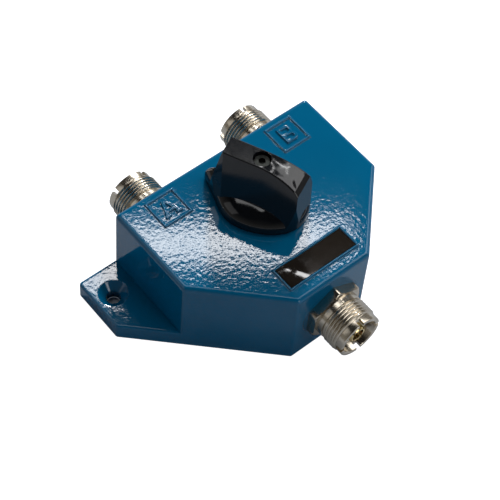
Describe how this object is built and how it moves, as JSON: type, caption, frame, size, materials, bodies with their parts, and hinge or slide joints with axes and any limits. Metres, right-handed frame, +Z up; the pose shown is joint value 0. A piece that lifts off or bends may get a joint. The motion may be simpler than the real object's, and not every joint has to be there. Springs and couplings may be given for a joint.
{
  "type": "coaxial antenna switch",
  "caption": "Blue painted die-cast coaxial antenna switch with screw-down ears, a black pointer knob, threaded coaxial sockets and a detented rotor inside.",
  "frame": {"origin": "on the knob's axis, in the plane of the base", "axes": "+Z up along the knob's axis, +Y out through ports A and B, +X towards port B's ear"},
  "size_m": [0.1012, 0.0824, 0.0498],
  "materials": {
    "blue_enamel": "gloss",
    "zinc_plated_steel": "satin",
    "gloss_label": "gloss",
    "nickel_plate": "polished",
    "cream_insulator": "satin",
    "gilded_brass": "polished",
    "silvered_brass": "satin",
    "plain_brass": "satin",
    "spring_steel": "satin",
    "turned_steel": "satin",
    "moulded_hub": "satin",
    "black_knob": "gloss"
  },
  "bodies": {
    "body": {"housing": "blue_enamel", "base_plate": "zinc_plated_steel", "base_plate_screws": "zinc_plated_steel", "label_plate": "gloss_label", "common_connector_shell": "nickel_plate", "common_insulator": "cream_insulator", "common_contact": "gilded_brass", "port_a_connector_shell": "nickel_plate", "port_a_insulator": "cream_insulator", "port_a_contact": "gilded_brass", "port_b_connector_shell": "nickel_plate", "port_b_insulator": "cream_insulator", "port_b_contact": "gilded_brass", "common_strip": "silvered_brass", "fixed_contact_a": "silvered_brass", "fixed_contact_b": "silvered_brass", "shaft_bush": "plain_brass", "detent_spring": "spring_steel"},
    "selector": {"knob": "black_knob", "knob_screw": "turned_steel", "shaft": "turned_steel", "retaining_rings": "spring_steel", "detent_disc": "turned_steel", "rotor_hub": "moulded_hub", "rotor_blade": "silvered_brass"}
  },
  "joints": [
    {"name": "knob_turn", "type": "hinge", "parent": "body", "child": "selector", "pos_m": [0, 0, 0.03], "axis": [0, 0, 1], "range_deg": [-50, 0], "deforming": ["detent_spring"]}
  ]
}
